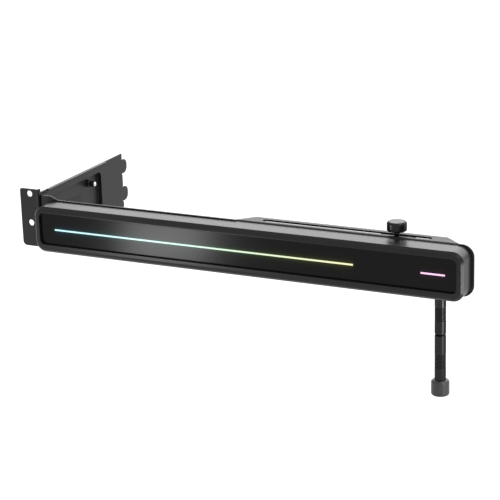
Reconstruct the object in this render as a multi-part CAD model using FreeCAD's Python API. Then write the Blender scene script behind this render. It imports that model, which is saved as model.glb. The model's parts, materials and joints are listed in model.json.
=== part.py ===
import FreeCAD, Part
import math
import os

V = FreeCAD.Vector
Z_AXIS = V(0, 0, 1)

# The origin is midway between the two slot screw holes, on the front of the screw tab.
# +X runs along the light bar, +Y runs into the case and +Z is up, as the bracket is fitted.

# Slot bracket, folded from one sheet
SLOT_PITCH = 20.32
SLOT_HOLE_D = 4.4
SHEET = 1.0
INNER_BEND = 0.4
TAB_LEFT = -7.4
TAB_TOP = 13.5
TAB_BOTTOM = -26.6
TAB_CORNER = 3.0
TAB_TOP_CORNER = 1.3
PLATE_FACE = 7.0
PLATE_TOP = 11.0
PLATE_BOTTOM = -29.0
PLATE_START = 3.0
PLATE_END = 113.2
TONGUE_END = 119.8
TONGUE_WIDTH = 10.2
TONGUE_CENTRE = 1.2
TONGUE_ROUND = 4.4
TONGUE_ROOT = 0.8
LIP_START = 11.5
LIP_END = 89.0
LIP_WIDTH = 2.7
LIP_CHAMFER = 0.8
POCKET_FRONT = 14.0
POCKET_BACK = 82.8
POCKET_TOP = 5.4
POCKET_BOTTOM = -22.0
POCKET_DEPTH = 3.0
POCKET_CORNER = 3.5
PAD_FRONT = 24.0
PAD_BACK = 60.0
PAD_TOP = -4.8
PAD_BOTTOM = -20.0
PAD_DEPTH = 0.9
PAD_RAMP = 12.0

POCKET_FLOOR = PLATE_FACE - POCKET_DEPTH

# Clamp bolt through the slot bracket
BOLT_Y = 68.6
BOLT_Z = 0.0
BOLT_D = 3.0
BOLT_NUT_D = 5.2
BOLT_NUT_HEIGHT = 2.2
BOLT_SLEEVE_D = 4.4
BOLT_SLEEVE_HEIGHT = 3.8
BOLT_TIP = 0.6

# Carrier, folded from one sheet
CARRIER_SHEET = 1.2
WEB_FRONT = 1.7
WEB_TOP = 7.0
WEB_BOTTOM = -26.2
WEB_RIGHT = 314.2
WEB_CORNER = 7.6
WEB_END_TOP = 9.4
STEP_START = 15.4
STEP_END = 20.9
STEP_ROUND = 3.0
END_FLANGE_BACK = 10.5
TOP_FLANGE_BACK = 12.9
TOP_FLANGE_LEFT = 154.0
TOP_FLANGE_RIGHT = 304.2
LEFT_TAPER = 9.6
RIGHT_TAPER = 10.7
FOOT_FLANGE_LEFT = 278.5
FOOT_FLANGE_RIGHT = 302.5
GUIDE_Y = 7.3
GUIDE_WIDTH = 4.2
GUIDE_LEFT = 170.8
GUIDE_RIGHT = 285.3
RIVET_D = 3.0
RIVET_HEAD_D = 5.0
RIVET_Y = 6.6

# Light bar
BAR_LEFT = 10.9
BAR_RIGHT = 312.5
BAR_TOP = 6.2
BAR_BOTTOM = -25.2
BAR_CORNER = 7.0
BAR_FRONT = -13.7
SEAM = -10.4
BEZEL_CHAMFER = 1.5
BEZEL_SLOPE = 0.5
BEZEL_SLOPE_WIDTH = 3.5
WALL = 1.6
WINDOW_LEFT = 15.1
WINDOW_RIGHT = 308.5
WINDOW_TOP = 2.1
WINDOW_BOTTOM = -19.8
WINDOW_CORNER = 3.2
PANEL_LAP = 1.2
PANEL_FRONT = -11.7
PANEL_BACK = -10.2
LIGHT_Z = -9.3
LIGHT_HEIGHT = 1.15
LONG_LIGHT = (25.9, 240.6)
SHORT_LIGHT = (284.9, 300.5)
GUIDE_BACK = -8.6
GUIDE_HEIGHT = 6.0
BOARD_FRONT = -6.9
BOARD_BACK = -5.7
BOARD_HEIGHT = 9.0
LED_PITCH = 14.0
BOSS_XS = (45.0, 128.0, 215.0, 292.0)
BOSS_Z = -17.0
LEAD_X = 30.0
LEAD_Z = -17.0
LEAD_HOLE_D = 6.0

# Slider and support
SUPPORT_X = 262.3
KNOB_D = 12.6
KNOB_BOTTOM = 9.7
KNOB_TOP = 15.7
KNOB_BEVEL = 1.0
KNOB_RIM = 0.2
SHANK_D = 3.6
SHANK_BOTTOM = -6.0
KEY_LENGTH = 20.0
KEY_TOP = 6.3
BLOCK_LENGTH = 23.0
BLOCK_FRONT = 3.8
BLOCK_BACK = 11.6
BLOCK_HEIGHT = 2.9
RUNNING = 0.08

# Leg
LEG_X = 290.8
POST_D = 7.2
POST_JOINT = -54.4
FOOT_TOP = -84.4
FOOT_BOTTOM = -94.7
FOOT_D = 11.6
STUD_D = 4.0
STUD_LENGTH = 22.0
UPPER_KNURL = (-45.2, -36.0)
LOWER_KNURL = (-76.2, -66.8)


def box(x, y, z):
    """Block between two values on each axis."""
    return Part.makeBox(x[1] - x[0], y[1] - y[0], z[1] - z[0], V(x[0], y[0], z[0]))


def rod(radius, start, end):
    """Cylinder from one point to another."""
    run = V(*end) - V(*start)
    return Part.makeCylinder(radius, run.Length, V(*start), run)


def prism(points, depth):
    """Straight-sided outline through the points, pushed along a vector."""
    corners = [V(*p) for p in points]
    return Part.Face(Part.makePolygon(corners + corners[:1])).extrude(V(*depth))


def turned(axis_x, axis_y, profile):
    """Body turned about a vertical axis from (radius, height) points."""
    corners = [V(axis_x + r, axis_y, z) for r, z in profile]
    face = Part.Face(Part.makePolygon(corners + corners[:1]))
    return face.revolve(V(axis_x, axis_y, 0), Z_AXIS, 360)


def hexagon(across_flats, x, y, z0, z1):
    """Six-sided nut blank standing on Z."""
    radius = across_flats / math.sqrt(3)
    angles = [math.radians(60 * i + 30) for i in range(6)]
    corners = [(x + radius * math.cos(a), y + radius * math.sin(a), z0) for a in angles]
    return prism(corners, (0, 0, z1 - z0))


def rounded(shape, radius, keep):
    """Fillet every edge whose two ends both satisfy keep."""
    edges = [e for e in shape.Edges if len(e.Vertexes) == 2 and all(keep(v.Point) for v in e.Vertexes)]
    return shape.makeFillet(radius, edges)


def near(value, target):
    return abs(value - target) < 0.01


def rounded_plate(x, y, z, corner):
    """Plate seen from the front as a rectangle with round corners."""
    plate = box(x, y, z)
    upright = [e for e in plate.Edges if near(abs(e.tangentAt(e.FirstParameter).y), 1)]
    return plate.makeFillet(corner, upright)


def slot_along_x(x, y_mid, width, z):
    """Level slot with round ends, cut along Z."""
    r = width / 2
    block = box((x[0] + r, x[1] - r), (y_mid - r, y_mid + r), z)
    left = rod(r, (x[0] + r, y_mid, z[0]), (x[0] + r, y_mid, z[1]))
    right = rod(r, (x[1] - r, y_mid, z[0]), (x[1] - r, y_mid, z[1]))
    return block.fuse([left, right]).removeSplitter()


# Slot bracket
def bracket_side_outline():
    """What the sheet keeps when seen along X: tab height, plate and two tongues."""
    front = box((-20, 20), (-1, PLATE_START), (TAB_BOTTOM, TAB_TOP))
    plate = box((-20, 20), (PLATE_START, PLATE_END), (PLATE_BOTTOM, PLATE_TOP))
    shape = front.fuse(plate)
    for centre in (TONGUE_CENTRE, TONGUE_CENTRE - SLOT_PITCH):
        z = (centre - TONGUE_WIDTH / 2, centre + TONGUE_WIDTH / 2)
        for root in z:
            shape = shape.cut(rod(TONGUE_ROOT, (-20, PLATE_END, root), (20, PLATE_END, root)))
        tongue = box((-20, 20), (PLATE_END - 1, TONGUE_END), z)
        tip = [e for e in tongue.Edges if near(e.CenterOfMass.y, TONGUE_END) and near(e.CenterOfMass.x, 0)]
        shape = shape.fuse(tongue.makeFillet(TONGUE_ROUND, tip))
    return shape


def slot_bracket():
    inner_face = PLATE_FACE - SHEET
    tab = box((TAB_LEFT, PLATE_FACE), (0, SHEET), (PLATE_BOTTOM, TAB_TOP))
    plate = box((inner_face, PLATE_FACE), (0, TONGUE_END), (PLATE_BOTTOM, TAB_TOP))
    sheet = tab.fuse(plate).removeSplitter()
    sheet = rounded(sheet, INNER_BEND, lambda p: near(p.x, inner_face) and near(p.y, SHEET))
    sheet = rounded(sheet, INNER_BEND + SHEET, lambda p: near(p.x, PLATE_FACE) and near(p.y, 0))
    sheet = sheet.common(bracket_side_outline())
    sheet = rounded(sheet, TAB_CORNER, lambda p: near(p.x, TAB_LEFT) and near(p.z, TAB_BOTTOM))
    sheet = rounded(sheet, TAB_TOP_CORNER, lambda p: near(p.x, TAB_LEFT) and near(p.z, TAB_TOP))
    sheet = sheet.fuse(bracket_lip())

    # The middle of the plate is drawn outwards in a deep pocket, with a shallow pad in its floor
    pad_floor = POCKET_FLOOR - PAD_DEPTH
    sheet = sheet.fuse(pocket((POCKET_FLOOR - SHEET, inner_face + 0.1), SHEET))
    sheet = sheet.cut(pocket((POCKET_FLOOR, PLATE_FACE + 1), 0))
    sheet = sheet.fuse(pressed_pad((pad_floor - SHEET, POCKET_FLOOR - SHEET + 0.1), SHEET / 2))
    sheet = sheet.cut(pressed_pad((pad_floor, POCKET_FLOOR + 1), 0))

    for z in (SLOT_PITCH / 2, -SLOT_PITCH / 2):
        sheet = sheet.cut(rod(SLOT_HOLE_D / 2, (0, -1, z), (0, SHEET + 1, z)))
    sheet = sheet.cut(rod(BOLT_D / 2, (0, BOLT_Y, BOLT_Z), (20, BOLT_Y, BOLT_Z)))
    for z in rivet_heights():
        sheet = sheet.cut(rod(RIVET_D / 2, (0, RIVET_Y, z), (20, RIVET_Y, z)))
    return sheet.removeSplitter()


def bracket_lip():
    """Narrow fold along the top of the plate."""
    left = PLATE_FACE - SHEET
    y = (LIP_START, LIP_END)
    leg = box((left, PLATE_FACE), y, (PLATE_TOP - 3, PLATE_TOP))
    ledge = box((left, left + LIP_WIDTH), y, (PLATE_TOP - SHEET, PLATE_TOP))
    edge = [e for e in ledge.Edges if near(e.BoundBox.XMin, left + LIP_WIDTH) and near(e.BoundBox.ZMax, PLATE_TOP - SHEET)]
    lip = leg.fuse(ledge.makeChamfer(LIP_CHAMFER, edge)).removeSplitter()
    return rounded(lip, INNER_BEND, lambda p: near(p.x, PLATE_FACE) and near(p.z, PLATE_TOP - SHEET))


def pocket(x, grow):
    """Block of the drawn pocket, or of its outside when grown by the sheet."""
    block = box(x, (POCKET_FRONT - grow, POCKET_BACK + grow), (POCKET_BOTTOM - grow, POCKET_TOP + grow))
    along_x = [e for e in block.Edges if near(abs(e.tangentAt(e.FirstParameter).x), 1)]
    block = block.makeFillet(POCKET_CORNER + grow, along_x)
    floor = [e for e in block.Edges if near(e.BoundBox.XMax, x[0])]
    return block.makeFillet(0.3 + grow / 2, floor)


def pressed_pad(x, grow):
    """Recess with drafted walls, whose far end slopes gently down to its floor."""
    rims = []
    for depth, draft, ramp in ((x[0], PAD_DEPTH, PAD_RAMP), (x[0] + PAD_DEPTH, 0, 0), (x[1], 0, 0)):
        y = (PAD_FRONT - grow + draft, PAD_BACK + grow - ramp)
        z = (PAD_BOTTOM - grow + draft, PAD_TOP + grow - draft)
        corners = [V(depth, y[0], z[0]), V(depth, y[1], z[0]), V(depth, y[1], z[1]), V(depth, y[0], z[1])]
        rims.append(Part.makePolygon(corners + corners[:1]))
    return Part.makeLoft(rims, True, True)


def rivet_heights():
    return (-1.0, -18.0)


def clamp_bolt():
    """Bolt from outside with its bright end standing clear of the sleeve."""
    start = POCKET_FLOOR - SHEET
    end = POCKET_FLOOR + BOLT_NUT_HEIGHT + BOLT_SLEEVE_HEIGHT + BOLT_TIP
    head = rod(2.8, (start - 1.4, BOLT_Y, BOLT_Z), (start, BOLT_Y, BOLT_Z))
    shank = rod(BOLT_D / 2, (start - 0.2, BOLT_Y, BOLT_Z), (end, BOLT_Y, BOLT_Z))
    tip = [e for e in shank.Edges if near(e.CenterOfMass.x, end) and e.Closed]
    shank = shank.makeChamfer(0.4, tip)
    recess = box((start - 2, start - 0.6), (BOLT_Y - 2, BOLT_Y + 2), (BOLT_Z - 0.4, BOLT_Z + 0.4))
    return head.fuse(shank).cut(recess)


def clamp_nut():
    """Flanged sleeve nut on the floor of the pocket."""
    a = POCKET_FLOOR
    b = a + BOLT_NUT_HEIGHT
    c = b + BOLT_SLEEVE_HEIGHT
    flange = rod(BOLT_NUT_D / 2, (a, BOLT_Y, BOLT_Z), (b, BOLT_Y, BOLT_Z))
    sleeve = rod(BOLT_SLEEVE_D / 2, (b, BOLT_Y, BOLT_Z), (c, BOLT_Y, BOLT_Z))
    bore = rod(BOLT_D / 2, (a - 1, BOLT_Y, BOLT_Z), (c + 1, BOLT_Y, BOLT_Z))
    return flange.fuse(sleeve).cut(bore)


# Carrier
def carrier_web():
    """Long upright wall with its stepped top edge and round right end."""
    y = (WEB_FRONT, WEB_FRONT + CARRIER_SHEET)
    outline = [
        (PLATE_FACE, y[0], WEB_BOTTOM),
        (WEB_RIGHT, y[0], WEB_BOTTOM),
        (WEB_RIGHT, y[0], WEB_TOP),
        (STEP_END, y[0], WEB_TOP),
        (STEP_START, y[0], WEB_END_TOP),
        (PLATE_FACE, y[0], WEB_END_TOP),
    ]
    web = prism(outline, (0, CARRIER_SHEET, 0))
    web = rounded(web, WEB_CORNER, lambda p: near(p.x, WEB_RIGHT) and near(p.z, WEB_TOP))
    web = rounded(web, WEB_CORNER, lambda p: near(p.x, WEB_RIGHT) and near(p.z, WEB_BOTTOM))
    web = rounded(web, STEP_ROUND, lambda p: near(p.x, STEP_START) and near(p.z, WEB_END_TOP))
    return rounded(web, STEP_ROUND, lambda p: near(p.x, STEP_END) and near(p.z, WEB_TOP))


def folded_flange(x, tapers, z, outside_z):
    """Flange folded back from the web, with tapered ends and a round bend."""
    y = (WEB_FRONT, TOP_FLANGE_BACK)
    leg_z = (min(z[0], z[1] - 4), z[1]) if outside_z == z[1] else (z[0], max(z[1], z[0] + 4))
    leg = box(x, (WEB_FRONT, WEB_FRONT + CARRIER_SHEET), leg_z)
    ledge = prism([
        (x[0], y[0], z[0]),
        (x[1], y[0], z[0]),
        (x[1], y[0] + CARRIER_SHEET, z[0]),
        (x[1] - tapers[1], y[1], z[0]),
        (x[0] + tapers[0], y[1], z[0]),
        (x[0], y[0] + CARRIER_SHEET, z[0]),
    ], (0, 0, z[1] - z[0]))
    flange = leg.fuse(ledge).removeSplitter()
    inside_z = z[0] + z[1] - outside_z
    back = WEB_FRONT + CARRIER_SHEET
    flange = rounded(flange, INNER_BEND + CARRIER_SHEET,
                     lambda p: near(p.y, WEB_FRONT) and near(p.z, outside_z))
    return rounded(flange, INNER_BEND, lambda p: near(p.y, back) and near(p.z, inside_z))


def carrier():
    """Web with its three folded flanges, the guide slot and the fixing holes."""
    web_y = (WEB_FRONT - 1, WEB_FRONT + CARRIER_SHEET + 1)
    top_x = (TOP_FLANGE_LEFT, TOP_FLANGE_RIGHT)
    foot_x = (FOOT_FLANGE_LEFT, FOOT_FLANGE_RIGHT)
    top_z = (WEB_TOP - CARRIER_SHEET, WEB_TOP)
    foot_z = (WEB_BOTTOM, WEB_BOTTOM + CARRIER_SHEET)
    web = carrier_web()
    web = web.cut(box(top_x, web_y, (WEB_TOP - 4, WEB_TOP + 1)))
    web = web.cut(box(foot_x, web_y, (WEB_BOTTOM - 1, WEB_BOTTOM + 4)))
    end_flange = box((PLATE_FACE, PLATE_FACE + CARRIER_SHEET), (WEB_FRONT, END_FLANGE_BACK),
                     (WEB_BOTTOM + 2, WEB_END_TOP))
    top_flange = folded_flange(top_x, (LEFT_TAPER, RIGHT_TAPER), top_z, WEB_TOP)
    foot_flange = folded_flange(foot_x, (4, 4), foot_z, WEB_BOTTOM)
    sheet = web.fuse([end_flange, top_flange, foot_flange]).removeSplitter()
    sheet = rounded(sheet, INNER_BEND + CARRIER_SHEET, lambda p: near(p.x, PLATE_FACE) and near(p.y, WEB_FRONT))

    guide = slot_along_x((GUIDE_LEFT, GUIDE_RIGHT), GUIDE_Y, GUIDE_WIDTH, (WEB_TOP - 5, WEB_TOP + 1))
    sheet = sheet.cut(guide)
    sheet = sheet.cut(rod(STUD_D / 2, (LEG_X, GUIDE_Y, WEB_BOTTOM - 1), (LEG_X, GUIDE_Y, WEB_BOTTOM + 3)))
    for z in rivet_heights():
        sheet = sheet.cut(rod(RIVET_D / 2, (0, RIVET_Y, z), (20, RIVET_Y, z)))
    for x in BOSS_XS:
        sheet = sheet.cut(rod(1.5, (x, 0, BOSS_Z), (x, 8, BOSS_Z)))
    sheet = sheet.cut(rod(LEAD_HOLE_D / 2, (LEAD_X, 0, LEAD_Z), (LEAD_X, 8, LEAD_Z)))
    return sheet


def carrier_rivets():
    """Two rivets that hold the carrier to the slot bracket."""
    rivets = []
    for z in rivet_heights():
        inside = PLATE_FACE + CARRIER_SHEET
        outside = PLATE_FACE - SHEET
        head = rod(RIVET_HEAD_D / 2, (inside, RIVET_Y, z), (inside + 1, RIVET_Y, z))
        shank = rod(RIVET_D / 2, (outside - 0.5, RIVET_Y, z), (inside + 0.5, RIVET_Y, z))
        tail = rod(RIVET_HEAD_D / 2 - 0.4, (outside - 0.8, RIVET_Y, z), (outside, RIVET_Y, z))
        rivets.append(head.fuse([shank, tail]))
    return Part.makeCompound(rivets)


# Light bar
def bar_outline(y, inset):
    return rounded_plate((BAR_LEFT + inset, BAR_RIGHT - inset), y, (BAR_BOTTOM + inset, BAR_TOP - inset),
                         BAR_CORNER - inset)


def bar_section(y, inset):
    """Outline of the bar at one depth, drawn in by a distance."""
    plate = bar_outline((y, y + 1), inset)
    front = [f for f in plate.Faces if near(f.BoundBox.YMax, y)]
    return front[0].OuterWire


def window(y, grow):
    return rounded_plate((WINDOW_LEFT - grow, WINDOW_RIGHT + grow), y,
                         (WINDOW_BOTTOM - grow, WINDOW_TOP + grow), WINDOW_CORNER + grow)


def housing():
    """Tray open at the front, with bosses for the screws and rests for the light strip."""
    tray = bar_outline((SEAM, WEB_FRONT), 0)
    tray = tray.cut(bar_outline((SEAM - 1, WEB_FRONT - WALL), WALL))
    floor = WEB_FRONT - WALL
    for x in BOSS_XS:
        boss = rod(3.2, (x, BOARD_BACK, BOSS_Z), (x, floor + 0.2, BOSS_Z))
        tray = tray.fuse(boss)
        tray = tray.cut(rod(1.25, (x, BOARD_BACK - 1, BOSS_Z), (x, WEB_FRONT + 1, BOSS_Z)))
    for x in strip_rests():
        rest = box((x - 1, x + 1), (BOARD_BACK, floor + 0.2), (LIGHT_Z - 4, LIGHT_Z + 4))
        tray = tray.fuse(rest)
    tray = tray.cut(rod(LEAD_HOLE_D / 2, (LEAD_X, -3, LEAD_Z), (LEAD_X, 8, LEAD_Z)))
    return tray.removeSplitter()


def strip_rests():
    return [60.0, 110.0, 160.0, 205.0, 245.0, 280.0]


def front_bezel():
    """Moulded frame with a bevelled rim and a rebate behind its window for the panel."""
    shoulder = BAR_FRONT + BEZEL_SLOPE
    frame = Part.makeLoft([
        bar_section(SEAM, 0),
        bar_section(shoulder + BEZEL_CHAMFER, 0),
        bar_section(shoulder, BEZEL_CHAMFER),
        bar_section(BAR_FRONT, BEZEL_SLOPE_WIDTH),
    ], True, True)
    frame = frame.cut(window((BAR_FRONT - 1, SEAM + 1), 0))
    frame = frame.cut(window((PANEL_FRONT, SEAM + 1), PANEL_LAP))
    return frame


def light_slit(span, y, height):
    return box(span, y, (LIGHT_Z - height / 2, LIGHT_Z + height / 2))


def front_panel():
    """Dark window with two narrow slits for the light."""
    panel = window((PANEL_FRONT, PANEL_BACK), PANEL_LAP - 0.1)
    for span in (LONG_LIGHT, SHORT_LIGHT):
        panel = panel.cut(light_slit(span, (PANEL_FRONT - 1, PANEL_BACK + 1), LIGHT_HEIGHT))
    return panel


def light_guide(span):
    """Clear bar whose ridge fills the slit in the panel."""
    ridge = light_slit(span, (PANEL_FRONT, PANEL_BACK + 0.1), LIGHT_HEIGHT)
    bar = light_slit((span[0] - 1.5, span[1] + 1.5), (PANEL_BACK, GUIDE_BACK), GUIDE_HEIGHT)
    back = [e for e in bar.Edges if near(e.CenterOfMass.y, GUIDE_BACK) and e.Length > GUIDE_HEIGHT + 1]
    return bar.makeChamfer(1.0, back).fuse(ridge).removeSplitter()


def led_xs():
    long_count = int((LONG_LIGHT[1] - LONG_LIGHT[0]) // LED_PITCH) + 1
    first = (LONG_LIGHT[0] + LONG_LIGHT[1] - (long_count - 1) * LED_PITCH) / 2
    middle = (SHORT_LIGHT[0] + SHORT_LIGHT[1]) / 2
    long_row = [first + i * LED_PITCH for i in range(long_count)]
    return long_row + [middle - LED_PITCH / 4, middle + LED_PITCH / 4]


def led_strip():
    """Circuit board that carries the lights."""
    return light_slit((WINDOW_LEFT + 4, WINDOW_RIGHT - 4), (BOARD_FRONT, BOARD_BACK), BOARD_HEIGHT)


def leds():
    lamps = []
    for x in led_xs():
        lamps.append(light_slit((x - 1.75, x + 1.75), (GUIDE_BACK, BOARD_FRONT), 2.8))
    return Part.makeCompound(lamps)


def lead_socket():
    """Socket behind the strip that the supply lead plugs into."""
    shell = box((LEAD_X - 5, LEAD_X + 5), (BOARD_BACK, WEB_FRONT - WALL), (LIGHT_Z - 4, LIGHT_Z + 2))
    mouth = box((LEAD_X - 3.8, LEAD_X + 3.8), (BOARD_BACK + 1.2, WEB_FRONT - WALL - 1.2),
                (LIGHT_Z - 5, LIGHT_Z + 0.5))
    return shell.cut(mouth)


def lead_grommet():
    """Rubber ring that lines the lead's way out through the carrier."""
    back = WEB_FRONT + CARRIER_SHEET
    sleeve = rod(LEAD_HOLE_D / 2, (LEAD_X, WEB_FRONT - WALL, LEAD_Z), (LEAD_X, back + 0.1, LEAD_Z))
    flange = rod(LEAD_HOLE_D / 2 + 1.4, (LEAD_X, back, LEAD_Z), (LEAD_X, back + 1.2, LEAD_Z))
    bore = rod(LEAD_HOLE_D / 2 - 1.0, (LEAD_X, -2, LEAD_Z), (LEAD_X, back + 3, LEAD_Z))
    return sleeve.fuse(flange).cut(bore)


def housing_screws():
    """Four screws through the carrier into the bosses of the housing."""
    back = WEB_FRONT + CARRIER_SHEET
    screws = []
    for x in BOSS_XS:
        head = rod(2.7, (x, back, BOSS_Z), (x, back + 1.6, BOSS_Z))
        rim = [e for e in head.Edges if near(e.CenterOfMass.y, back + 1.6) and e.Closed]
        head = head.makeFillet(0.6, rim)
        shank = rod(1.25, (x, BOARD_BACK + 1, BOSS_Z), (x, back + 0.2, BOSS_Z))
        cross_y = (back + 0.9, back + 3)
        cross = box((x - 1.5, x + 1.5), cross_y, (BOSS_Z - 0.35, BOSS_Z + 0.35))
        cross = cross.fuse(box((x - 0.35, x + 0.35), cross_y, (BOSS_Z - 1.5, BOSS_Z + 1.5)))
        screws.append(head.fuse(shank).cut(cross))
    return Part.makeCompound(screws)


# Slider and support
def slider_block():
    """Block under the top flange with a key that runs in the guide slot."""
    top = WEB_TOP - CARRIER_SHEET - 0.05
    x = (SUPPORT_X - BLOCK_LENGTH / 2, SUPPORT_X + BLOCK_LENGTH / 2)
    block = box(x, (BLOCK_FRONT, BLOCK_BACK), (top - BLOCK_HEIGHT, top))
    upright = [e for e in block.Edges if near(abs(e.tangentAt(e.FirstParameter).z), 1)]
    block = block.makeFillet(1.5, upright)
    key_x = (SUPPORT_X - KEY_LENGTH / 2, SUPPORT_X + KEY_LENGTH / 2)
    key = slot_along_x(key_x, GUIDE_Y, GUIDE_WIDTH - 2 * RUNNING, (top - 1, KEY_TOP))
    bore = rod(SHANK_D / 2 + 0.05, (SUPPORT_X, GUIDE_Y, -10), (SUPPORT_X, GUIDE_Y, 10))
    return block.fuse(key).removeSplitter().cut(bore)


def slider_nut():
    """Nut under the block that the support screw turns in."""
    top = WEB_TOP - CARRIER_SHEET - 0.05 - BLOCK_HEIGHT
    nut = hexagon(7.0, SUPPORT_X, GUIDE_Y, top - 2.4, top)
    return nut.cut(rod(SHANK_D / 2 + 0.05, (SUPPORT_X, GUIDE_Y, -10), (SUPPORT_X, GUIDE_Y, 10)))


def support_knob():
    """Turned head and shank in one piece, with a shallow seat for the pad."""
    head = KNOB_D / 2
    shank = SHANK_D / 2
    seat = KNOB_TOP - 0.9
    return turned(SUPPORT_X, GUIDE_Y, [
        (0, SHANK_BOTTOM),
        (shank - 0.4, SHANK_BOTTOM),
        (shank, SHANK_BOTTOM + 0.4),
        (shank, KNOB_BOTTOM),
        (head - KNOB_BEVEL / 2, KNOB_BOTTOM),
        (head, KNOB_BOTTOM + KNOB_BEVEL / 2),
        (head, KNOB_TOP - KNOB_BEVEL),
        (head - KNOB_BEVEL + 0.1, KNOB_TOP - 0.1),
        (head - KNOB_BEVEL - KNOB_RIM, KNOB_TOP - 0.1),
        (head - KNOB_BEVEL - KNOB_RIM, seat),
        (0, seat),
    ])


def support_pad():
    """Rubber disc that the graphics card rests on."""
    radius = KNOB_D / 2 - KNOB_BEVEL - KNOB_RIM
    return turned(SUPPORT_X, GUIDE_Y, [
        (0, KNOB_TOP - 0.9),
        (radius, KNOB_TOP - 0.9),
        (radius, KNOB_TOP - 0.2),
        (radius - 0.2, KNOB_TOP),
        (0, KNOB_TOP),
    ])


# Leg
def knurl(span, radius):
    """Profile points of a band of fine ridges between two heights, from the lower end up."""
    pitch = 1.15
    depth = 0.3
    count = int((span[1] - span[0]) // pitch)
    start = (span[0] + span[1] - count * pitch) / 2
    points = []
    for i in range(count):
        z = start + i * pitch
        points += [(radius, z), (radius - depth, z + 0.2), (radius - depth, z + 0.5), (radius, z + 0.7)]
    return points


def upper_post():
    """Upper post with a stud through the foot flange and a threaded bore below."""
    radius = POST_D / 2
    stud = STUD_D / 2
    bore_top = POST_JOINT + STUD_LENGTH + 2
    profile = [
        (0, bore_top),
        (stud + 0.05, bore_top),
        (stud + 0.05, POST_JOINT),
        (radius - 0.3, POST_JOINT),
        (radius, POST_JOINT + 0.3),
    ]
    profile += knurl(UPPER_KNURL, radius)
    profile += [
        (radius, WEB_BOTTOM),
        (stud, WEB_BOTTOM),
        (stud, WEB_BOTTOM + CARRIER_SHEET + 4.4),
        (0, WEB_BOTTOM + CARRIER_SHEET + 4.4),
    ]
    return turned(LEG_X, GUIDE_Y, profile)


def post_nut():
    bottom = WEB_BOTTOM + CARRIER_SHEET
    nut = hexagon(7.0, LEG_X, GUIDE_Y, bottom, bottom + 3.2)
    return nut.cut(rod(STUD_D / 2, (LEG_X, GUIDE_Y, bottom - 1), (LEG_X, GUIDE_Y, bottom + 5)))


def lower_post():
    """Lower post whose long stud screws up into the upper post."""
    radius = POST_D / 2
    stud = STUD_D / 2
    profile = [
        (0, FOOT_TOP - 6),
        (stud, FOOT_TOP - 6),
        (stud, FOOT_TOP),
        (radius, FOOT_TOP),
    ]
    profile += knurl(LOWER_KNURL, radius)
    profile += [
        (radius, POST_JOINT - 0.35),
        (radius - 0.3, POST_JOINT - 0.05),
        (stud, POST_JOINT - 0.05),
        (stud, POST_JOINT + STUD_LENGTH - 0.4),
        (stud - 0.4, POST_JOINT + STUD_LENGTH),
        (0, POST_JOINT + STUD_LENGTH),
    ]
    return turned(LEG_X, GUIDE_Y, profile)


def foot_cap():
    """Rubber foot, bevelled at both ends."""
    radius = FOOT_D / 2
    stud = STUD_D / 2
    return turned(LEG_X, GUIDE_Y, [
        (0, FOOT_BOTTOM),
        (radius - 0.8, FOOT_BOTTOM),
        (radius, FOOT_BOTTOM + 0.8),
        (radius, FOOT_TOP - 1.2),
        (radius - 1.2, FOOT_TOP),
        (stud, FOOT_TOP),
        (stud, FOOT_TOP - 6),
        (0, FOOT_TOP - 6),
    ])


os.makedirs("parts", exist_ok=True)
pieces = {
    "slot_bracket": slot_bracket(),
    "clamp_bolt": clamp_bolt(),
    "clamp_nut": clamp_nut(),
    "carrier": carrier(),
    "carrier_rivets": carrier_rivets(),
    "housing": housing(),
    "front_bezel": front_bezel(),
    "front_panel": front_panel(),
    "long_light_guide": light_guide(LONG_LIGHT),
    "short_light_guide": light_guide(SHORT_LIGHT),
    "led_strip": led_strip(),
    "leds": leds(),
    "lead_socket": lead_socket(),
    "lead_grommet": lead_grommet(),
    "housing_screws": housing_screws(),
    "slider_block": slider_block(),
    "slider_nut": slider_nut(),
    "support_knob": support_knob(),
    "support_pad": support_pad(),
    "upper_post": upper_post(),
    "post_nut": post_nut(),
    "lower_post": lower_post(),
    "foot_cap": foot_cap(),
}
for name, shape in pieces.items():
    shape.exportStep("parts/" + name + ".step")
    size = shape.BoundBox
    print(name, "solids", len(shape.Solids), "valid", shape.isValid(), "mm3", round(shape.Volume, 1),
          "x", round(size.XMin, 2), round(size.XMax, 2), "y", round(size.YMin, 2), round(size.YMax, 2),
          "z", round(size.ZMin, 2), round(size.ZMax, 2))
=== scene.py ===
import json
import math

import bmesh
import bpy
from mathutils import Matrix, Vector


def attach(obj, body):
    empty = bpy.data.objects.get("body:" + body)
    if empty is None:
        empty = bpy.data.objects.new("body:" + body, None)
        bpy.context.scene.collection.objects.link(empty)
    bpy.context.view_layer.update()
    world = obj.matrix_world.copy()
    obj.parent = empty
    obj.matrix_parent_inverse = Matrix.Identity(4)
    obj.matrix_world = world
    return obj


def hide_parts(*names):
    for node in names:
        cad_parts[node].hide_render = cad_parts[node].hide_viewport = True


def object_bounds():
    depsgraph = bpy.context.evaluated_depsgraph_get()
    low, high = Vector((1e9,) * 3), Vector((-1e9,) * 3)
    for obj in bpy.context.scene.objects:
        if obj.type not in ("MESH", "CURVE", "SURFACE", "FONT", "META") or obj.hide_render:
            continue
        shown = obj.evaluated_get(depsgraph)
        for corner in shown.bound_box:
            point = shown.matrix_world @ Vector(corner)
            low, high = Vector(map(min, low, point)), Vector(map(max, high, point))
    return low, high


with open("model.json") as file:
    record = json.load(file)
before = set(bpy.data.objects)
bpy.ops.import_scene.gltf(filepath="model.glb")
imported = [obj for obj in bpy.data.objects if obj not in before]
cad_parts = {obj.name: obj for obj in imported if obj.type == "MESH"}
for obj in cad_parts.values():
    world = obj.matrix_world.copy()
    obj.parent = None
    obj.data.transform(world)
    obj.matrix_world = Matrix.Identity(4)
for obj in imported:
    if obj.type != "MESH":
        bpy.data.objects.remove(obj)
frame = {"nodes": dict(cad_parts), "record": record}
cad_low, cad_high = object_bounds()
nodes = frame["nodes"]
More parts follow.
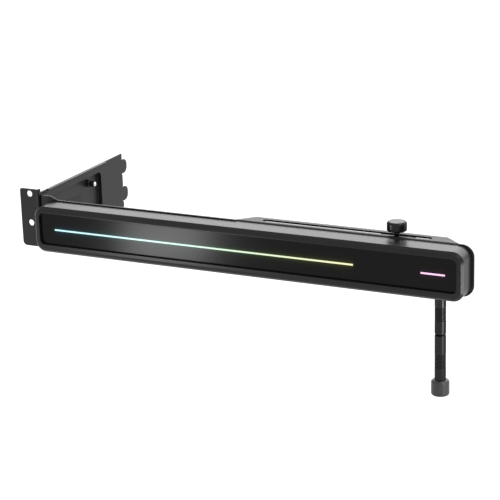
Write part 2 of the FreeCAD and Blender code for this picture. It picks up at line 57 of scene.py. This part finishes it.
subparts = frame["record"]["subparts"]
scene = bpy.context.scene
MM = 0.001

# The photograph's camera, in the bracket's own frame
PHOTO_PIXELS = 500
FOCAL_PIXELS = 1800.0
SENSOR_MM = 36.0
CAMERA_PLACE = Vector((0.6507, -0.9845, 0.3334))
AZIMUTH = math.radians(26.28)
ELEVATION = math.radians(17.44)
ROLL = math.radians(-1.77)
NEAREST = 0.05
FARTHEST = 50.0

# Light line on the window
LINE_Z = -9.3 * MM
LONG_LINE = (25.9 * MM, 240.6 * MM)
SHORT_LINE = (284.9 * MM, 300.5 * MM)
LINE_STRENGTH = 0.84
LINE_HUES = (
    (0.0, (0.4, 0.64, 0.66)),
    (0.16, (0.4, 0.6, 0.61)),
    (0.34, (0.36, 0.55, 0.47)),
    (0.5, (0.51, 0.63, 0.47)),
    (0.64, (0.61, 0.65, 0.44)),
    (0.78, (0.73, 0.7, 0.43)),
    (0.9, (0.77, 0.5, 0.66)),
    (1.0, (0.77, 0.5, 0.7)),
)

# The line's spill on the window: deeper hues that fade out above, below and past the ends
SPILL_LEVEL = 0.2
SPILL_REACH = 1.1 * MM
SPILL_END = 2.0 * MM
SPILL_HUES = (
    (0.0, (0.03, 0.26, 0.4)),
    (0.16, (0.03, 0.4, 0.42)),
    (0.36, (0.02, 0.4, 0.22)),
    (0.56, (0.2, 0.42, 0.06)),
    (0.78, (0.4, 0.34, 0.03)),
    (0.88, (0.25, 0.025, 0.14)),
    (1.0, (0.23, 0.02, 0.17)),
)

# Turned pieces: places, heights and radii in millimetres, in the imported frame
SUPPORT_AXIS = (262.3, 7.3, 0.0)
LEG_AXIS = (290.8, 7.3, 0.0)
NUT_SEAT = (4.0, 68.6, 0.0)
UPRIGHT = (0.0, 0.0, 1.0)
SIDEWAYS = (1.0, 0.0, 0.0)

SHANK_END = -6.0
SHANK_TIP_RADIUS = 1.4
SHANK_RADIUS = 1.8
SHANK_THREAD = (-5.6, 8.2)
SHANK_PITCH = 0.6
NECK_RADIUS = 1.7
NECK_START = 8.4
KNOB_RADIUS = 6.3
KNOB_UNDERSIDE = 9.7
KNOB_TOP = 15.6
KNOB_LOWER_CHAMFER = 0.5
KNOB_UPPER_CHAMFER = 0.9
PAD_RADIUS = 5.1
PAD_SEAT = 14.8
PAD_TOP = 15.7
PAD_CHAMFER = 0.2

POST_RADIUS = 3.6
POST_CHAMFER = 0.6
POST_THREAD_RADIUS = 2.0
POST_PITCH = 0.7
UPPER_SHOULDER = -26.2
UPPER_NECK_TOP = -25.0
UPPER_THREAD = (-24.9, -21.2)
UPPER_TIP = (1.7, -20.6)
UPPER_RIDGES = (-45.2, -36.0)
UPPER_END = -54.4
BORE_RADIUS = 2.05
BORE_END = -30.4
LOWER_TOP = -54.45
LOWER_ROOT_RADIUS = 1.8
LOWER_THREAD = (-54.2, -33.2)
LOWER_TIP = (1.6, -32.4)
LOWER_RIDGES = (-76.2, -66.8)
STUD_RADIUS = 2.0
STUD_END = -90.4

FOOT_RADIUS = 5.8
FOOT_TOP = -84.4
FOOT_BOTTOM = -94.7
FOOT_LOWER_CHAMFER = 0.8
FOOT_UPPER_CHAMFER = 1.2

NUT_BORE_RADIUS = 1.5
NUT_FLANGE_RADIUS = 2.6
NUT_FLANGE_HEIGHT = 2.2
NUT_SLEEVE_RADIUS = 2.2
NUT_SLEEVE_TOP = 6.0

THREAD_DEPTH = 0.2
THREAD_CREST = (0.4, 0.6)  # where the crest starts and ends, as shares of the pitch
RIDGE_PITCH = 1.15
RIDGE_DEPTH = 0.3
RIDGE_GROOVE = (0.2, 0.5, 0.7)  # heights of the groove's floor start, floor end and far edge
EASE_SHARE = 0.4  # most of a side that an eased corner may take
TURN_STEPS = 72
SHARP_ANGLE = math.radians(18.0)
WELD_DISTANCE = 0.005 * MM

# Stage: the floor is a leg's travel below the foot, and white is what the eye and gloss see
LEG_TRAVEL = 0.015
FLOOR_GAP = 0.0005
FLOOR_CENTRE_X = 0.15
FLOOR_HALF_WIDTH = 6.0
FLOOR_PAINT = (0.3, 0.3, 0.3)
FLOOR_WHITE = 0.9
WORLD_WHITE = 1.0
WORLD_LIGHT = 0.5

# Material nodes
NOISE_ROUGHNESS = 0.55
BEVEL_SAMPLES = 4

# Lamps: name, place, point aimed at, width and height in metres, power in watts
LAMPS = (
    ("back_softbox", (0.2, 1.5, 0.75), (0.15, 0.0, 0.0), (2.6, 1.0), 23.0),
    ("top_softbox", (0.1, 0.7, 1.3), (0.15, 0.0, 0.0), (1.2, 0.8), 4.5),
    ("side_softbox", (1.0, -0.2, 1.0), (0.2, 0.0, 0.0), (0.5, 0.5), 5.5),
    ("right_lamp", (0.455, -0.05, -0.075), (0.3, 0.0, -0.035), (0.04, 0.07), 0.2),
    ("front_lamp", (0.006, -0.199, -0.073), (0.107, -0.0137, -0.009), (0.065, 0.042), 0.16),
)


class Socket:
    """A node's output, with arithmetic that adds the Math nodes it needs."""

    def __init__(self, tree, socket):
        self.tree = tree
        self.socket = socket

    def output(self, name):
        """Another output of the same node."""
        return Socket(self.tree, self.socket.node.outputs[name])

    def math(self, operation, *values):
        return self.tree.node("ShaderNodeMath", {"operation": operation},
                              dict(enumerate((self, *values))))

    def __add__(self, other):
        return self.math("ADD", other)

    def __radd__(self, other):
        return self.math("ADD", other)

    def __sub__(self, other):
        return self.math("SUBTRACT", other)

    def __rsub__(self, other):
        return self.tree.node("ShaderNodeMath", {"operation": "SUBTRACT"}, {0: other, 1: self})

    def __mul__(self, other):
        return self.math("MULTIPLY", other)

    def __truediv__(self, other):
        return self.math("DIVIDE", other)

    def __neg__(self):
        return self.math("MULTIPLY", -1.0)

    def __abs__(self):
        return self.math("ABSOLUTE")

    def ramp(self, low, high):
        """Smooth step from 0 at low to 1 at high."""
        return self.tree.node("ShaderNodeMapRange",
                              {"interpolation_type": "SMOOTHSTEP", "clamp": True},
                              {"Value": self, "From Min": low, "From Max": high})

    def within(self, span, fade):
        """1 inside a span and 0 outside it, with a smooth change at both ends."""
        start, end = span
        return self.ramp(start - fade, start + fade) * (1 - self.ramp(end - fade, end + fade))


class Tree:
    """A node tree, whose nodes all come from one method."""

    def __init__(self, node_tree):
        self.nodes = node_tree.nodes
        self.links = node_tree.links

    def feed(self, node, name, value):
        socket = node.inputs[name]
        if isinstance(value, Socket):
            self.links.new(value.socket, socket)
        elif isinstance(value, tuple) and len(value) == 3 and socket.type == "RGBA":
            socket.default_value = (*value, 1.0)
        else:
            socket.default_value = value

    def node(self, kind, settings=None, inputs=None, output=0):
        made = self.nodes.new(kind)
        for name, value in (settings or {}).items():
            setattr(made, name, value)
        for name, value in (inputs or {}).items():
            self.feed(made, name, value)
        return Socket(self, made.outputs[output])

    def seen(self):
        """1 for what the camera, gloss and clear material see, 0 for the light on things."""
        path = self.node("ShaderNodeLightPath", output="Is Camera Ray")
        looking = path.math("MAXIMUM", path.output("Is Glossy Ray"))
        return looking.math("MAXIMUM", path.output("Is Transmission Ray"))


class Material(Tree):
    """A node material with one Principled shader."""

    def __init__(self, name, **constants):
        self.data = bpy.data.materials.new(name)
        self.data.use_nodes = True
        super().__init__(self.data.node_tree)
        self.nodes.clear()
        self.surface = self.nodes.new("ShaderNodeOutputMaterial")
        self.shader = self.nodes.new("ShaderNodeBsdfPrincipled")
        self.feed(self.surface, "Surface", Socket(self, self.shader.outputs[0]))
        self.set(**constants)

    def set(self, **values):
        for name, value in values.items():
            self.feed(self.shader, name.replace("_", " "), value)
        return self

    def place(self, scale=(1.0, 1.0, 1.0)):
        """Object coordinates through a Mapping node."""
        coords = self.node("ShaderNodeTexCoord", output="Object")
        return self.node("ShaderNodeMapping", None, {"Vector": coords, "Scale": scale})

    def axes(self, vector):
        x = self.node("ShaderNodeSeparateXYZ", None, {"Vector": vector})
        return x, x.output("Y"), x.output("Z")

    def noise(self, vector, scale, detail):
        return self.node("ShaderNodeTexNoise", None,
                         {"Vector": vector, "Scale": scale, "Detail": detail,
                          "Roughness": NOISE_ROUGHNESS})

    def mix(self, factor, first, second):
        """Colour between two, by the Mix node's own numbering of its sockets."""
        return self.node("ShaderNodeMix", {"data_type": "RGBA"},
                         {0: factor, 6: first, 7: second}, output=2)

    def hue_along(self, x, stops):
        """Colour by the place between the light line's left end and its right end."""
        along = (x - LONG_LINE[0]) / (SHORT_LINE[1] - LONG_LINE[0])
        hue = self.node("ShaderNodeValToRGB", None, {"Fac": along})
        elements = hue.socket.node.color_ramp.elements
        elements.remove(elements[-1])
        elements[0].position = stops[0][0]
        elements[0].color = (*stops[0][1], 1.0)
        for place, colour in stops[1:]:
            elements.new(place).color = (*colour, 1.0)
        return hue

    def bump(self, height, distance, strength, edge=0.0):
        """Relief from a height, over edges softened by a small radius where one is given."""
        inputs = {"Height": height, "Distance": distance, "Strength": strength}
        if edge:
            inputs["Normal"] = self.node("ShaderNodeBevel", {"samples": BEVEL_SAMPLES},
                                         {"Radius": edge})
        return self.node("ShaderNodeBump", None, inputs)


# Materials
def powder_coated_steel():
    """Black powder coat: a fine pebbled skin with slow changes in its sheen."""
    m = Material("black_powder_coat", Metallic=0.0, IOR=1.34)
    place = m.place()
    grain = m.noise(place, scale=1900.0, detail=2.0)
    patches = m.noise(place, scale=42.0, detail=3.0)
    return m.set(
        Base_Color=m.mix(patches, (0.009, 0.0092, 0.0096), (0.014, 0.0143, 0.0148)),
        Roughness=0.38 + patches * 0.08 + grain * 0.04,
        Normal=m.bump(grain, distance=0.06 * MM, strength=0.35, edge=0.25 * MM))


def satin_shell():
    """Black satin paint on the bar, smooth enough to mirror what stands over it."""
    m = Material("satin_bar_shell", Metallic=0.0, IOR=1.33)
    grain = m.noise(m.place(), scale=2600.0, detail=2.0)
    sweep = m.noise(m.place(scale=(6.0, 60.0, 60.0)), scale=3.0, detail=3.0)
    return m.set(
        Base_Color=m.mix(sweep, (0.006, 0.006, 0.0062), (0.009, 0.009, 0.0093)),
        Roughness=0.33 + sweep * 0.05,
        Normal=m.bump(grain, distance=0.03 * MM, strength=0.2, edge=0.12 * MM))


def dark_alloy():
    """Turned alloy, anodised near black."""
    m = Material("dark_anodised_alloy", Metallic=1.0, Specular_Tint=(0.6, 0.6, 0.6))
    place = m.place()
    fine = m.noise(place, scale=2400.0, detail=2.0)
    cloud = m.noise(place, scale=60.0, detail=3.0)
    return m.set(
        Base_Color=m.mix(cloud, (0.019, 0.0192, 0.02), (0.029, 0.0293, 0.0302)),
        Roughness=0.24 + cloud * 0.05,
        Normal=m.bump(fine, distance=0.01 * MM, strength=0.2))


def bright_steel():
    """Zinc-plated screw steel with faint blotches."""
    m = Material("bright_screw_steel", Metallic=1.0)
    cloud = m.noise(m.place(), scale=700.0, detail=3.0)
    return m.set(
        Base_Color=m.mix(cloud, (0.6, 0.6, 0.61), (0.78, 0.78, 0.77)),
        Roughness=0.2 + cloud * 0.12)


def black_rubber():
    """Moulded rubber, matt with a fine texture."""
    m = Material("black_rubber_matt", Metallic=0.0, IOR=1.5)
    place = m.place()
    fine = m.noise(place, scale=1500.0, detail=3.0)
    dust = m.noise(place, scale=90.0, detail=4.0)
    return m.set(
        Base_Color=m.mix(dust, (0.015, 0.015, 0.0155), (0.026, 0.026, 0.0265)),
        Roughness=0.36 + fine * 0.12,
        Normal=m.bump(fine, distance=0.04 * MM, strength=0.3))


def smoked_window():
    """Glossy smoked window with the light's soft spill beside each line."""
    m = Material("smoked_window", Metallic=0.0, IOR=1.22, Roughness=0.21, Emission_Strength=1.0)
    place = m.place()
    x, _, z = m.axes(place)
    haze = m.noise(place, scale=26.0, detail=3.0)
    spill = (-abs(z - LINE_Z) / SPILL_REACH).math("EXPONENT")
    lit = x.within(LONG_LINE, SPILL_END) + x.within(SHORT_LINE, SPILL_END)
    dark = (0.0, 0.0, 0.0)
    return m.set(
        Base_Color=m.mix(haze, (0.0022, 0.0022, 0.0023), (0.0028, 0.0028, 0.0029)),
        Emission_Color=m.mix(spill * lit * SPILL_LEVEL, dark, m.hue_along(x, SPILL_HUES)))


def lit_guide():
    """Clear light guide, lit along its length."""
    m = Material("lit_guide", Metallic=0.0, Roughness=0.3, Emission_Strength=LINE_STRENGTH)
    hue = m.hue_along(m.axes(m.place())[0], LINE_HUES)
    return m.set(Base_Color=hue, Emission_Color=hue)


def board_enamel():
    """White enamel of the circuit board."""
    m = Material("board_enamel", Metallic=0.0)
    cloud = m.noise(m.place(), scale=300.0, detail=2.0)
    return m.set(
        Base_Color=m.mix(cloud, (0.72, 0.72, 0.69), (0.82, 0.82, 0.79)),
        Roughness=0.42 + cloud * 0.1)


def lamp_resin():
    """Yellowish resin over each lamp of the board."""
    m = Material("lamp_resin", Metallic=0.0, Roughness=0.3)
    cloud = m.noise(m.place(), scale=900.0, detail=2.0)
    return m.set(Base_Color=m.mix(cloud, (0.9, 0.86, 0.6), (0.96, 0.93, 0.7)))


FINISHES = {
    "black_steel": powder_coated_steel(),
    "bar_shell": satin_shell(),
    "dark_alloy": dark_alloy(),
    "bright_steel": bright_steel(),
    "black_rubber": black_rubber(),
    "window": smoked_window(),
    "light": lit_guide(),
    "circuit_board": board_enamel(),
    "lamp": lamp_resin(),
}
SLOT_OF_NODE = {part["node"]: part["material_slot"] for part in subparts}


def dress_nodes():
    """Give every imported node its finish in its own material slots."""
    for node, slot in SLOT_OF_NODE.items():
        materials = nodes[node].data.materials
        finish = FINISHES[slot].data
        if not materials:
            materials.append(finish)
        for i in range(len(materials)):
            materials[i] = finish


# Turned pieces, with smooth round sides and eased corners
def eased(profile, radius):
    """The profile with every inner corner cut back a little to each side."""
    corners = [Vector(point) for point in profile]
    points = [corners[0]]
    for before, here, after in zip(corners, corners[1:], corners[2:]):
        for other in (before, after):
            side = other - here
            points.append(here + side.normalized() * min(radius, side.length * EASE_SHARE))
    points.append(corners[-1])
    return points


def turned(name, node, body, foot, axis, profile, ease):
    """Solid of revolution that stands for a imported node, from (radius, height) points."""
    axis = Vector(axis)
    side = axis.orthogonal().normalized()
    foot = Vector(foot) * MM
    bm = bmesh.new()
    line = [bm.verts.new(foot + side * r * MM + axis * h * MM) for r, h in eased(profile, ease)]
    edges = [bm.edges.new(pair) for pair in zip(line, line[1:])]
    bmesh.ops.spin(bm, geom=line + edges, cent=foot, axis=axis, angle=math.tau,
                   steps=TURN_STEPS, use_merge=True)
    bmesh.ops.remove_doubles(bm, verts=bm.verts, dist=WELD_DISTANCE)
    bmesh.ops.recalc_face_normals(bm, faces=bm.faces)
    mesh = bpy.data.meshes.new(name)
    bm.to_mesh(mesh)
    bm.free()
    mesh.shade_smooth()
    mesh.set_sharp_from_angle(angle=SHARP_ANGLE)
    piece = bpy.data.objects.new(name, mesh)
    scene.collection.objects.link(piece)
    slot = SLOT_OF_NODE[node]
    mesh.materials.append(FINISHES[slot].data)
    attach(piece, body)
    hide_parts(node)


def thread(radius, span, pitch):
    """Profile points of thread crests between two heights."""
    start, end = span
    points = []
    for i in range(int((end - start) / pitch)):
        height = start + i * pitch
        points.append((radius - THREAD_DEPTH, height))
        points += [(radius, height + pitch * share) for share in THREAD_CREST]
    return points


def ridges(radius, span):
    """Profile points of a knurled band: fine ridges one above the other."""
    start, end = span
    count = int((end - start) // RIDGE_PITCH)
    first = (start + end - count * RIDGE_PITCH) / 2
    floor_start, floor_end, edge = RIDGE_GROOVE
    points = []
    for i in range(count):
        z = first + i * RIDGE_PITCH
        points += [(radius, z), (radius - RIDGE_DEPTH, z + floor_start),
                   (radius - RIDGE_DEPTH, z + floor_end), (radius, z + edge)]
    return points


def turn_support():
    """Knob with its threaded shank, and the rubber pad let into its top."""
    shank = [(0, SHANK_END), (SHANK_TIP_RADIUS, SHANK_END),
             *thread(SHANK_RADIUS, SHANK_THREAD, SHANK_PITCH),
             (NECK_RADIUS, NECK_START), (NECK_RADIUS, KNOB_UNDERSIDE)]
    head = [(KNOB_RADIUS - KNOB_LOWER_CHAMFER, KNOB_UNDERSIDE),
            (KNOB_RADIUS, KNOB_UNDERSIDE + KNOB_LOWER_CHAMFER),
            (KNOB_RADIUS, KNOB_TOP - KNOB_UPPER_CHAMFER),
            (KNOB_RADIUS - KNOB_UPPER_CHAMFER, KNOB_TOP),
            (PAD_RADIUS, KNOB_TOP), (PAD_RADIUS, PAD_SEAT), (0, PAD_SEAT)]
    pad = [(0, PAD_SEAT), (PAD_RADIUS, PAD_SEAT), (PAD_RADIUS, PAD_TOP - PAD_CHAMFER),
           (PAD_RADIUS - PAD_CHAMFER, PAD_TOP), (0, PAD_TOP)]
    turned("turned_knob", "support_knob", "support", SUPPORT_AXIS, UPRIGHT, shank + head,
           ease=0.12)
    turned("turned_pad", "support_pad", "support", SUPPORT_AXIS, UPRIGHT, pad, ease=0.08)


def turn_leg():
    """Upper post, lower post that screws into it, and the foot on the lower post's stud."""
    upper = [(0, BORE_END), (BORE_RADIUS, BORE_END), (BORE_RADIUS, UPPER_END),
             (POST_RADIUS - POST_CHAMFER, UPPER_END), (POST_RADIUS, UPPER_END + POST_CHAMFER),
             *ridges(POST_RADIUS, UPPER_RIDGES),
             (POST_RADIUS, UPPER_SHOULDER), (POST_THREAD_RADIUS, UPPER_SHOULDER),
             (POST_THREAD_RADIUS, UPPER_NECK_TOP),
             *thread(POST_THREAD_RADIUS, UPPER_THREAD, POST_PITCH),
             UPPER_TIP, (0, UPPER_TIP[1])]
    lower = [(0, STUD_END), (STUD_RADIUS, STUD_END), (STUD_RADIUS, FOOT_TOP),
             (POST_RADIUS, FOOT_TOP),
             *ridges(POST_RADIUS, LOWER_RIDGES),
             (POST_RADIUS, LOWER_TOP - POST_CHAMFER), (POST_RADIUS - POST_CHAMFER, LOWER_TOP),
             (LOWER_ROOT_RADIUS, LOWER_TOP),
             *thread(POST_THREAD_RADIUS, LOWER_THREAD, POST_PITCH),
             LOWER_TIP, (0, LOWER_TIP[1])]
    foot = [(0, FOOT_BOTTOM), (FOOT_RADIUS - FOOT_LOWER_CHAMFER, FOOT_BOTTOM),
            (FOOT_RADIUS, FOOT_BOTTOM + FOOT_LOWER_CHAMFER),
            (FOOT_RADIUS, FOOT_TOP - FOOT_UPPER_CHAMFER),
            (FOOT_RADIUS - FOOT_UPPER_CHAMFER, FOOT_TOP),
            (STUD_RADIUS, FOOT_TOP), (STUD_RADIUS, STUD_END), (0, STUD_END)]
    turned("turned_upper_post", "upper_post", "frame", LEG_AXIS, UPRIGHT, upper, ease=0.06)
    turned("turned_lower_post", "lower_post", "leg", LEG_AXIS, UPRIGHT, lower, ease=0.06)
    turned("turned_foot", "foot_cap", "leg", LEG_AXIS, UPRIGHT, foot, ease=0.35)


def turn_clamp_nut():
    """Flanged sleeve nut on the bolt through the slot plate."""
    nut = [(NUT_BORE_RADIUS, 0), (NUT_FLANGE_RADIUS, 0),
           (NUT_FLANGE_RADIUS, NUT_FLANGE_HEIGHT), (NUT_SLEEVE_RADIUS, NUT_FLANGE_HEIGHT),
           (NUT_SLEEVE_RADIUS, NUT_SLEEVE_TOP), (NUT_BORE_RADIUS, NUT_SLEEVE_TOP),
           (NUT_BORE_RADIUS, 0)]
    turned("turned_clamp_nut", "clamp_nut", "frame", NUT_SEAT, SIDEWAYS, nut, ease=0.2)


# Stage
def floor_paint():
    """White floor, plain all over, that keeps the object's shadow."""
    m = Material("floor_paint", Roughness=1.0, Base_Color=FLOOR_PAINT, Specular_IOR_Level=0.0)
    paint = Socket(m, m.shader.outputs[0])
    white = m.node("ShaderNodeEmission", None, {"Strength": FLOOR_WHITE})
    glowing = m.node("ShaderNodeAddShader", None, {0: paint, 1: white})
    to_eye = m.node("ShaderNodeMixShader", None, {0: m.seen(), 1: paint, 2: glowing})
    m.feed(m.surface, "Surface", to_eye)
    return m.data


def stage_floor():
    middle = (FLOOR_CENTRE_X, 0.0, cad_low.z - LEG_TRAVEL - FLOOR_GAP)
    bm = bmesh.new()
    bmesh.ops.create_grid(bm, x_segments=1, y_segments=1, size=FLOOR_HALF_WIDTH,
                          matrix=Matrix.Translation(middle))
    mesh = bpy.data.meshes.new("floor")
    bm.to_mesh(mesh)
    bm.free()
    mesh.materials.append(floor_paint())
    floor = bpy.data.objects.new("floor", mesh)
    scene.collection.objects.link(floor)


def studio_world():
    """Even white surroundings, which light the object less than they show."""
    scene.world = bpy.data.worlds.new("studio")
    scene.world.use_nodes = True
    tree = Tree(scene.world.node_tree)
    level = tree.node("ShaderNodeMapRange", None,
                      {"Value": tree.seen(), "To Min": WORLD_LIGHT, "To Max": WORLD_WHITE})
    background = tree.nodes["Background"]
    tree.feed(background, "Strength", level)
    tree.feed(background, "Color", (1.0, 1.0, 1.0))


def studio_lamps():
    """Soft lamps behind, above and beside the object, and small ones low in front."""
    for name, place, aim, size, power in LAMPS:
        data = bpy.data.lights.new(name, "AREA")
        data.shape = "RECTANGLE"
        data.size, data.size_y = size
        data.energy = power
        lamp = bpy.data.objects.new(name, data)
        lamp.location = place
        lamp.rotation_euler = (Vector(aim) - Vector(place)).to_track_quat("-Z", "Y").to_euler()
        scene.collection.objects.link(lamp)


def photo_camera():
    right = Vector((math.cos(AZIMUTH), math.sin(AZIMUTH), 0.0))
    ahead = Vector((-math.sin(AZIMUTH) * math.cos(ELEVATION),
                    math.cos(AZIMUTH) * math.cos(ELEVATION), -math.sin(ELEVATION)))
    up = right.cross(ahead)
    rolled_right = right * math.cos(ROLL) + up * math.sin(ROLL)
    rolled_up = up * math.cos(ROLL) - right * math.sin(ROLL)
    data = bpy.data.cameras.new("photo_camera")
    data.sensor_width = SENSOR_MM
    data.lens = FOCAL_PIXELS / PHOTO_PIXELS * SENSOR_MM
    data.clip_start = NEAREST
    data.clip_end = FARTHEST
    camera = bpy.data.objects.new("photo_camera", data)
    turn = Matrix((rolled_right, rolled_up, -ahead)).transposed()
    camera.matrix_world = Matrix.Translation(CAMERA_PLACE) @ turn.to_4x4()
    scene.collection.objects.link(camera)
    scene.camera = camera


dress_nodes()
turn_support()
turn_leg()
turn_clamp_nut()
stage_floor()
studio_world()
studio_lamps()
photo_camera()
scene.view_settings.view_transform = "Standard"
